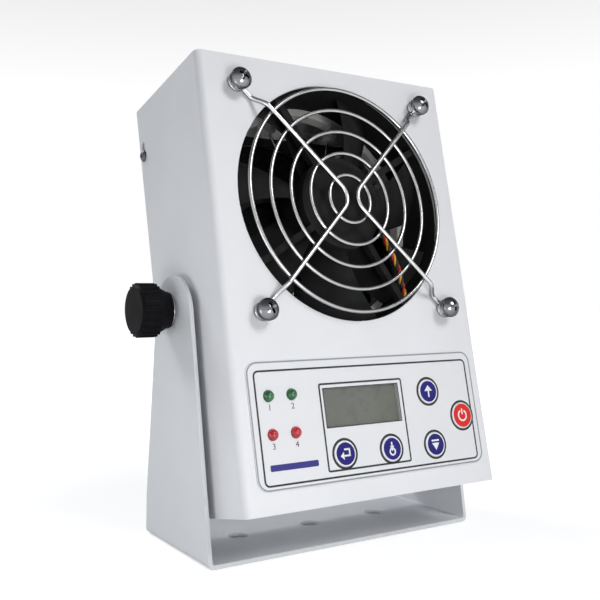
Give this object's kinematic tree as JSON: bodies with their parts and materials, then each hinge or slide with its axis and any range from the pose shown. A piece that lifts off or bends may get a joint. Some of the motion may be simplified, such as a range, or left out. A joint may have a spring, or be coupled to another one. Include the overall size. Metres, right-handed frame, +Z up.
{
  "type": "ionizing air blower",
  "caption": "Benchtop static-eliminating fan: sheet-metal housing with a wire finger guard and a key panel, tilting between the arms of a folded stand on two hand knobs.",
  "frame": {"origin": "on the bench, at the middle hole of the stand's base", "axes": "+X to the viewer's right along the tilt axis, +Y to the back, +Z up"},
  "size_m": [0.1872, 0.1194, 0.2277],
  "materials": {
    "coat": "satin powder coat",
    "stand_coat": "satin powder coat",
    "bright_steel": "bright plated",
    "steel": "zinc plated",
    "dark_steel": "blackened",
    "black_plastic": "moulded, fine grain",
    "gloss_black": "moulded, semi-gloss",
    "white_plastic": "moulded",
    "overlay": "printed film",
    "lens": "clear with a grey-green cast",
    "display": "liquid-crystal glass in a black bezel",
    "board": "solder mask",
    "green_lamp": "tinted clear epoxy",
    "red_lamp": "tinted clear epoxy",
    "blue_key": "moulded with a printed white ring",
    "red_key": "moulded with a printed white ring",
    "brass": "plain",
    "magnet": "sintered",
    "winding": "enamelled wire on laminations",
    "lead_jacket": "insulated wire",
    "cable_jacket": "silicone jacket",
    "foam": "open-cell foam"
  },
  "bodies": {
    "stand": {"stand": "stand_coat"},
    "housing": {"front_shell": "coat", "rear_cover": "coat", "cover_screws": "dark_steel", "pivot_nuts": "steel", "friction_discs": "black_plastic", "panel_overlay": "overlay", "display_window": "lens", "display_module": "display", "control_board": "board", "board_standoffs": "steel", "board_screws": "steel", "tact_switches": "black_plastic", "green_lamps": "green_lamp", "red_lamps": "red_lamp", "guard_rings": "bright_steel", "guard_spokes": "bright_steel", "guard_screws": "bright_steel", "guard_washers": "bright_steel", "fan_nuts": "steel", "fan_frame": "black_plastic", "fan_stator": "winding", "fan_bearings": "steel", "fan_lead": "lead_jacket", "emitter_ring": "white_plastic", "emitter_needles": "bright_steel", "hv_module": "gloss_black", "hv_cable": "cable_jacket", "supply_board": "board", "supply_standoffs": "white_plastic", "transformer": "winding", "capacitors": "gloss_black", "mains_leads": "cable_jacket", "power_inlet": "gloss_black", "inlet_pins": "brass", "inlet_screws": "dark_steel", "earth_terminal": "brass", "filter_frame": "black_plastic", "filter_foam": "foam", "filter_screws": "steel", "filter_nuts": "steel"},
    "rotor": {"impeller": "black_plastic", "fan_shaft": "steel", "magnet_ring": "magnet"},
    "filter_lid": {"filter_cover": "black_plastic"},
    "fuse_holder": {"fuse_drawer": "gloss_black", "mains_fuse": "brass"},
    "left_clamp": {"left_washer": "bright_steel"},
    "left_hand_knob": {"left_knob": "black_plastic", "left_stud": "steel"},
    "right_clamp": {"right_washer": "bright_steel"},
    "right_hand_knob": {"right_knob": "black_plastic", "right_stud": "steel"},
    "up_key": {"up_key": "blue_key"},
    "down_key": {"down_key": "blue_key"},
    "menu_key": {"menu_key": "blue_key"},
    "enter_key": {"enter_key": "blue_key"},
    "power_key": {"power_key": "red_key"}
  },
  "joints": [
    {"name": "housing_tilt", "type": "hinge", "parent": "stand", "child": "housing", "pos_m": [0, 0.004, 0.112], "axis": [1, 0, 0], "range_deg": [-78, 102]},
    {"name": "fan_spin", "type": "hinge", "parent": "housing", "child": "rotor", "pos_m": [0, 0.01284, 0.15357], "axis": [0, 0.9781, -0.2079], "continuous": true},
    {"name": "left_clamp_slide", "type": "slide", "parent": "housing", "child": "left_clamp", "axis": [-1, 0, 0], "range_m": [0, 0.002]},
    {"name": "left_knob_turn", "type": "hinge", "parent": "left_clamp", "child": "left_hand_knob", "pos_m": [-0.077, 0.004, 0.112], "axis": [-1, 0, 0], "range_deg": [0, 720]},
    {"name": "right_clamp_slide", "type": "slide", "parent": "housing", "child": "right_clamp", "axis": [1, 0, 0], "range_m": [0, 0.002]},
    {"name": "right_knob_turn", "type": "hinge", "parent": "right_clamp", "child": "right_hand_knob", "pos_m": [0.077, 0.004, 0.112], "axis": [1, 0, 0], "range_deg": [0, 720]},
    {"name": "up_key_press", "type": "slide", "parent": "housing", "child": "up_key", "axis": [0, 0.9781, -0.2079], "range_m": [0, 0.0005], "stiffness_N_per_m": 500, "springref_m": -0.0005},
    {"name": "down_key_press", "type": "slide", "parent": "housing", "child": "down_key", "axis": [0, 0.9781, -0.2079], "range_m": [0, 0.0005], "stiffness_N_per_m": 500, "springref_m": -0.0005},
    {"name": "menu_key_press", "type": "slide", "parent": "housing", "child": "menu_key", "axis": [0, 0.9781, -0.2079], "range_m": [0, 0.0005], "stiffness_N_per_m": 500, "springref_m": -0.0005},
    {"name": "enter_key_press", "type": "slide", "parent": "housing", "child": "enter_key", "axis": [0, 0.9781, -0.2079], "range_m": [0, 0.0005], "stiffness_N_per_m": 500, "springref_m": -0.0005},
    {"name": "power_key_press", "type": "slide", "parent": "housing", "child": "power_key", "axis": [0, 0.9781, -0.2079], "range_m": [0, 0.0005], "stiffness_N_per_m": 500, "springref_m": -0.0005},
    {"name": "filter_cover_pull", "type": "slide", "parent": "housing", "child": "filter_lid", "axis": [0, 0.9781, -0.2079], "range_m": [0, 0.012]},
    {"name": "fuse_drawer_pull", "type": "slide", "parent": "housing", "child": "fuse_holder", "axis": [0, 0.9781, -0.2079], "range_m": [0, 0.012]}
  ],
  "couplings": [
    {"joint": "left_knob_turn", "follows": "left_clamp_slide", "rad_per_m": 6283.2},
    {"joint": "right_knob_turn", "follows": "right_clamp_slide", "rad_per_m": 6283.2}
  ]
}
